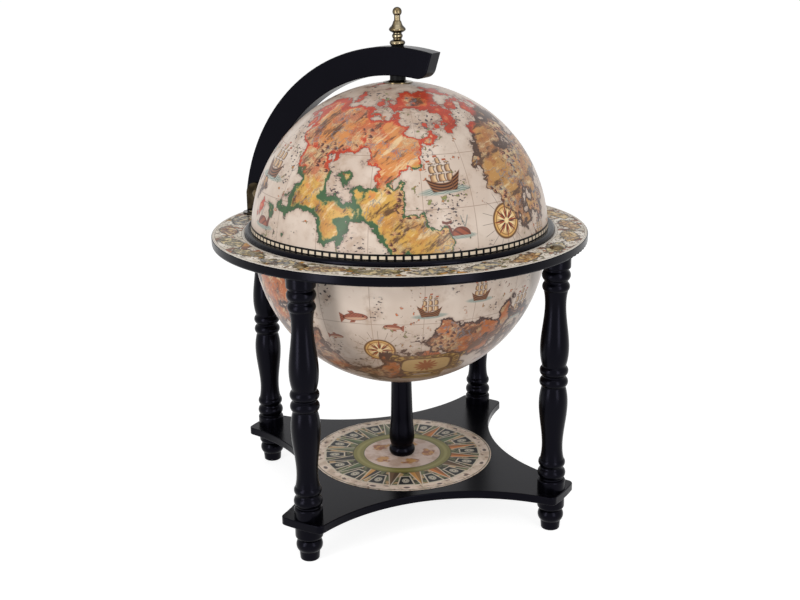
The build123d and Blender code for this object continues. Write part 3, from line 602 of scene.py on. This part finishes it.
def ring_paper():
    """Ring of almond panels over dense scrollwork, between ruled borders."""
    material, where = start("ring_scrolls")
    radius, turn = polar(where)[:2]
    v = (radius - (RING_INNER + RING_OUTER) / 2) * (2.0 / (RING_OUTER - RING_INNER))
    along = turn * (RING_PANELS / (2 * math.pi))
    cell = number("FLOOR", along)
    u = (part_of(along) - 0.5) * 2.0
    toss = tossed(cell)
    color = paint((236, 228, 216), (210, 198, 178), rise(noise(where, 34.0, 5.0, 0.6), 0.42, 0.62))
    random, eye, away = cells(where, 110.0, 0.6)
    swing = vector("SUBTRACT", where, eye)
    spin = angle(split(swing)[1], split(swing)[0]) * (0.5 / math.pi)
    curl = line(part_of(away * 2.6 + spin) - 0.5, 0.15, 0.08) * below(away, 0.5, 0.04)
    color = paint(color, paint((98, 84, 58), (134, 96, 54), split(random)[0]), curl * 0.85)
    blend = rise(noise(where, 26.0, 2.0), 0.46, 0.54)
    for scale, edge, first, second in (
        (74.0, 0.592, (192, 138, 60), (122, 74, 42)), (110.0, 0.606, (112, 104, 58), (160, 96, 50)),
    ):
        leaf = noise(where, scale, 2.5, 0.55)
        color = paint(color, paint(first, second, blend), rise(leaf, edge - 0.01, edge + 0.01))
        color = paint(color, (40, 28, 22), line(leaf - edge, 0.018, 0.01) * 0.9)
    hue = choose(
        toss, (196, 150, 70), (150, 92, 54), (132, 138, 142), (122, 112, 62), (188, 134, 62),
        (128, 82, 54),
    )
    edge = noise(where, 110.0, 4.0, 0.65) - 0.5
    almond = abs(v + sine(u * 2.4) * 0.18) - (1.0 - u * u * 1.1) * 0.58 + edge * 0.6
    tone = noise(where, 170.0, 3.0, 0.6)
    panel = paint(hue, (230, 206, 150), rise(tone, 0.52, 0.58) * 0.8)
    panel = paint(panel, (46, 32, 24), line(tone - 0.45, 0.045, 0.02) * 0.9)
    color = paint(color, panel, below(almond, 0.0, 0.04) * 0.82)
    color = paint(color, (44, 32, 24), line(almond, 0.05, 0.03) * 0.9)
    color = paint(color, (236, 228, 216), rise(abs(v), 0.84, 0.87))
    for border in (0.85, 0.94):
        color = paint(color, (110, 90, 66), line(abs(v) - border, 0.018, 0.015) * 0.8)
    return coat(material, color, 0.38, noise(where, FIBRE_SCALE, 3.0), PAPER_DEPTH, **PAPER_GLOSS)


def medallion():
    """Wind-rose medallion: dark keystones with ovals between long spikes, and an olive ring."""
    material, where = start("medallion_rose")
    radius, turn = polar(where)[:2]
    r = radius * (1.0 / MEDALLION_RADIUS)
    sector = turn * (MEDALLION_POINTS / (2 * math.pi))
    half_sector = math.pi / MEDALLION_POINTS
    off_middle = (part_of(sector) - 0.5) * 2.0
    beside_panel = abs(off_middle) * r * half_sector
    beside_spike = (1.0 - abs(off_middle)) * r * half_sector
    spike_cell = number("FLOOR", sector + 0.5)
    age = noise(where, 60.0, 5.0, 0.62)
    cream = (224, 210, 190)
    edge = 0.004

    color = paint((240, 222, 206), (210, 188, 166), rise(age, 0.42, 0.62))
    blot = root((r - 0.93) * (r - 0.93) * 3.0 + beside_panel * beside_panel) + (age - 0.5) * 0.06
    color = paint(color, (74, 54, 46), below(blot, 0.03, 0.008) * 0.9)
    marks = rise(noise(where, 210.0, 2.0, 0.5), 0.6, 0.64) * rise(r, 0.88, 0.89)
    color = paint(color, (140, 106, 84), marks * 0.7)

    thicket = noise(where, 130.0, 4.0, 0.62)
    weave = paint((112, 116, 82), (62, 58, 46), rise(thicket, 0.44, 0.54))
    weave = paint(weave, (196, 164, 120), rise(noise(where, 90.0, 3.0), 0.54, 0.6))
    color = paint(color, weave, between(r, 0.54, 0.865, edge))
    color = paint(color, cream, line(r - 0.872, 0.007, edge))

    panel = most(abs(r - 0.755) - 0.1, beside_panel - 0.064 - (r - 0.755) * 0.2)
    color = paint(color, cream, below(panel, 0.012, edge))
    color = paint(color, (36, 38, 38), below(panel, -0.002, edge))
    oval = (r - 0.76) * (r - 0.76) * 330.0 + beside_panel * beside_panel * 620.0
    curl = line(sine(oval * 8.0), 0.5, 0.3)
    color = paint(color, paint((212, 204, 186), (104, 98, 88), curl), below(oval, 1.0, 0.15))

    spike = most(beside_spike - (0.885 - r) * 0.17, 0.548 - r)
    color = paint(color, cream, below(spike, 0.011, edge))
    hue = choose(
        tossed(spike_cell), (208, 128, 62), (98, 116, 78), (54, 52, 50), (212, 156, 84),
        (120, 92, 64), (128, 134, 104),
    )
    half = rise(off_middle, -0.02, 0.02)
    hue = paint(hue, (44, 40, 36), (1.0 - half) * 0.5)
    color = paint(color, hue, below(spike, 0.0, edge))

    color = paint(color, (136, 130, 72), between(r, 0.43, 0.552, edge))
    color = paint(color, (164, 156, 100), line(r - 0.492, 0.016, 0.012) * 0.8)
    for border in (0.43, 0.552, 0.984):
        color = paint(color, (78, 72, 48), line(r - border, 0.006, edge) * 0.8)
    centre = below(r, 0.424, edge)
    color = paint(color, paint((226, 204, 192), (204, 176, 158), rise(age, 0.45, 0.6)), centre)
    petals = abs(part_of(turn * (5 / (2 * math.pi)) + 0.3) - 0.5) * 2.0
    flower = petals * 0.36 + abs(r - 0.27) * 2.2 + (noise(where, 70.0, 3.0) - 0.5) * 0.9
    spray = paint((202, 150, 84), (150, 84, 54), rise(thicket, 0.46, 0.54))
    color = paint(color, spray, below(flower, 0.2, 0.06) * centre * 0.9)
    return coat(material, color, 0.42, noise(where, FIBRE_SCALE, 3.0), PAPER_DEPTH, **PAPER_GLOSS)


def band_paper():
    """Ladder of pale squares on black round the lid's edge."""
    material, where = start("ladder_band")
    turn, z = polar(where)[1:]
    step = part_of(turn * (BAND_SQUARES / (2 * math.pi)))
    tall = between(z - BAND_BOTTOM, SQUARE_LOW, SQUARE_HIGH, 0.0001)
    square = below(abs(step - 0.5), 0.35, 0.02) * tall
    cream = paint((236, 222, 200), (212, 192, 166), noise(where, 60.0, 3.0))
    color = paint((12, 11, 12), cream, square)
    return coat(material, color, 0.38, noise(where, FIBRE_SCALE, 3.0), PAPER_DEPTH, **DARK_GLOSS)


# ---------------------------------------------------------------- plain finishes
def lacquer():
    """Black satin lacquer on wood, with faint grain and polish marks."""
    material, where = start("black_lacquer")
    grain = noise(vector("MULTIPLY", where, (1.0, 1.0, 0.12)), 240.0, 4.0, 0.6)
    haze = noise(where, 22.0, 3.0)
    color = paint((2, 2, 4), (4, 4, 7), haze)
    roughness = 0.18 + haze * 0.08 + grain * 0.04
    return coat(
        material, color, roughness, grain, 0.00005, Specular_Tint=LACQUER_SHEEN, **LACQUER_GLOSS
    )


def metal(name, crown, patina_color, dark_patina_and_shade, recess, edge_shade_share):
    """Antiqued metal: bright on the crowns; darker in the hollows and close to other parts, partly
    patina and partly painted shade; painted shade where it turns away.
    """
    material, where = start(name)
    shade = material.node_tree.nodes.new("ShaderNodeAmbientOcclusion")
    shade.inputs["Distance"].default_value = recess
    open_air = Value(shade.outputs["AO"])
    turning = Value(material.node_tree.nodes.new("ShaderNodeLayerWeight").outputs["Facing"])
    patina = noise(where, 90.0, 2.0, 0.5)
    color = paint(crown, patina_color, rise(patina, 0.4, 0.66))
    # painted shade: darker where the surface turns away from view, in place of dark reflections at
    # grazing angles
    color = paint(color, dark_patina_and_shade, rise(turning, 0.06, 0.6) * edge_shade_share)
    # darker in hollows and close to other parts, found by an occlusion test: patina in the grooves,
    # and painted shade between parts
    color = paint(dark_patina_and_shade, color, rise(open_air, 0.5, 0.97))
    return coat(material, color, 0.16 + patina * 0.12, patina, 0.00001, Metallic=1.0)


def steel():
    """Zinc-plated steel with fine scratches."""
    material, where = start("plated_steel")
    scratches = noise(vector("MULTIPLY", where, (1.0, 1.0, 14.0)), 300.0, 3.0)
    color = paint((150, 152, 156), (188, 190, 192), scratches)
    return coat(material, color, 0.25 + scratches * 0.15, scratches, 0.00003, Metallic=1.0)


def bare_wood():
    """Clear-varnished beech: long grain with small pores."""
    material, where = start("varnished_wood")
    grain = noise(vector("MULTIPLY", where, (1.0, 0.15, 1.0)), 180.0, 5.0, 0.65)
    color = paint((196, 152, 104), (150, 106, 64), rise(grain, 0.35, 0.7))
    return coat(material, color, 0.4 + grain * 0.1, grain, 0.0001)


def black_plastic():
    """Satin moulded black."""
    material, where = start("satin_black")
    speck = noise(where, 500.0, 2.0)
    color = paint((8, 8, 9), (14, 14, 16), speck)
    return coat(material, color, 0.4 + speck * 0.1, speck, 0.00003, **DARK_GLOSS)


# last three numbers: colour of the patina and painted shade, reach of the occlusion test in metres,
# share of painted shade where the metal turns away
brass = metal("antique_brass", (158, 146, 120), (116, 101, 74), (22, 15, 9), 0.0045, 0.95)
bronze = metal("aged_bronze", (112, 98, 74), (74, 62, 44), (16, 12, 9), 0.0006, 0.0)
dark_bronze = metal("dark_bronze", (66, 57, 42), (40, 33, 23), (11, 9, 6), 0.003, 0.3)
finishes = {
    "globe_print": bowl_print,
    "ring_paper": ring_paper(),
    "medallion_paper": medallion(),
    "band_paper": band_paper(),
    "black_lacquer": lacquer(),
    "antique_brass": brass,
    "steel": steel(),
    "bare_wood": bare_wood(),
    "black_plastic": black_plastic(),
}
by_node = {
    "upper_hemisphere": lid_print,
    "hinge_bracket": dark_bronze,
    "hinge_pin": bronze,
    "dome_washer": bronze,
    "ring_bolts": bronze,
}
slots = {part["node"]: part["material_slot"] for part in frame["record"]["subparts"]}
for name, piece in frame["nodes"].items():
    finish = by_node.get(name, finishes[slots[name]])
    for slot in piece.material_slots:
        slot.material = finish

# ---------------------------------------------------------------- studio
AMBIENT = 0.46          # strength of the world on what it lights; 1 where it is seen
FLOOR_REACH = 40.0
FLOOR_GLOW = 0.3        # strength of the floor's light on what it lights
FLOOR_SEEN = 0.84       # and where it is seen
FLOOR_GREY = (0.4, 0.4, 0.4, 1.0)
WHITE = (1.0, 1.0, 1.0, 1.0)

scene = bpy.context.scene
scene.view_settings.view_transform = "Standard"


def place(name, data):
    """A new object in the scene."""
    made = bpy.data.objects.new(name, data)
    scene.collection.objects.link(made)
    return made


def background_rays(tree):
    """1 for the rays that see the background: straight, mirrored or through glass."""
    path = tree.nodes.new("ShaderNodeLightPath")
    kinds = ("Is Camera Ray", "Is Glossy Ray", "Is Transmission Ray")
    camera, glossy, through = (Value(path.outputs[kind]) for kind in kinds)
    return most(most(camera, glossy), through)


world = bpy.data.worlds.new("studio")
scene.world = world
world.use_nodes = True
sky = world.node_tree.nodes["Background"]
feed(AMBIENT + background_rays(world.node_tree) * (1.0 - AMBIENT), sky.inputs["Strength"])
sky.inputs["Color"].default_value = WHITE

floor_mesh = bpy.data.meshes.new("floor")
floor_mesh.from_pydata(
    [(x * FLOOR_REACH, y * FLOOR_REACH, 0.0) for x, y in ((-1, -1), (1, -1), (1, 1), (-1, 1))],
    [], [(0, 1, 2, 3)],
)
floor = place("floor", floor_mesh)
floor_paint = start("floor_paint")[0]
shader = floor_paint.node_tree.nodes["Principled BSDF"]
shader.inputs["Base Color"].default_value = FLOOR_GREY
shader.inputs["Roughness"].default_value = 0.9
shader.inputs["Specular IOR Level"].default_value = 0.0
shader.inputs["Emission Color"].default_value = WHITE
glow = FLOOR_GLOW + background_rays(floor_paint.node_tree) * (FLOOR_SEEN - FLOOR_GLOW)
feed(glow, shader.inputs["Emission Strength"])
floor_mesh.materials.append(floor_paint)

# ---------------------------------------------------------------- camera
CAMERA_PLACE = (-0.000448, -1.356309, 0.637608)
CAMERA_PITCH = math.radians(16.507)
CAMERA_ROLL = math.radians(-0.664)
HINGE_TURN = math.radians(-58.8)    # from the camera's own frame to the part's
CAMERA_LENS = 56.124
SENSOR_WIDTH = 36.0

turned = Matrix.Rotation(HINGE_TURN, 4, "Z") @ Matrix.Translation(CAMERA_PLACE)
tilted = Matrix.Rotation(math.pi / 2 - CAMERA_PITCH, 4, "X") @ Matrix.Rotation(CAMERA_ROLL, 4, "Z")
camera = place("camera", bpy.data.cameras.new("camera"))
camera.matrix_world = turned @ tilted
camera.data.lens = CAMERA_LENS
camera.data.sensor_width = SENSOR_WIDTH
scene.camera = camera


def softbox(name, azimuth, distance, middle, size, power, tilt=0.0):
    """A square lamp that faces the globe's axis; azimuth is from the camera's side, in degrees."""
    a = math.radians(azimuth) + HINGE_TURN
    lamp = place(name, bpy.data.lights.new(name, "AREA"))
    lamp.location = (math.sin(a) * distance, -math.cos(a) * distance, middle)
    lamp.rotation_euler = (math.pi / 2 - math.radians(tilt), 0.0, a)
    lamp.data.shape = "RECTANGLE"
    lamp.data.size, lamp.data.size_y = size
    lamp.data.energy = power


softbox("key", azimuth=-42, distance=1.05, middle=0.52, size=(0.26, 0.96), power=5.2)
softbox("fill", azimuth=32, distance=1.05, middle=0.52, size=(0.26, 0.96), power=3.8)
softbox("top", azimuth=10, distance=0.3, middle=2.1, size=(1.6, 1.6), power=7, tilt=82)
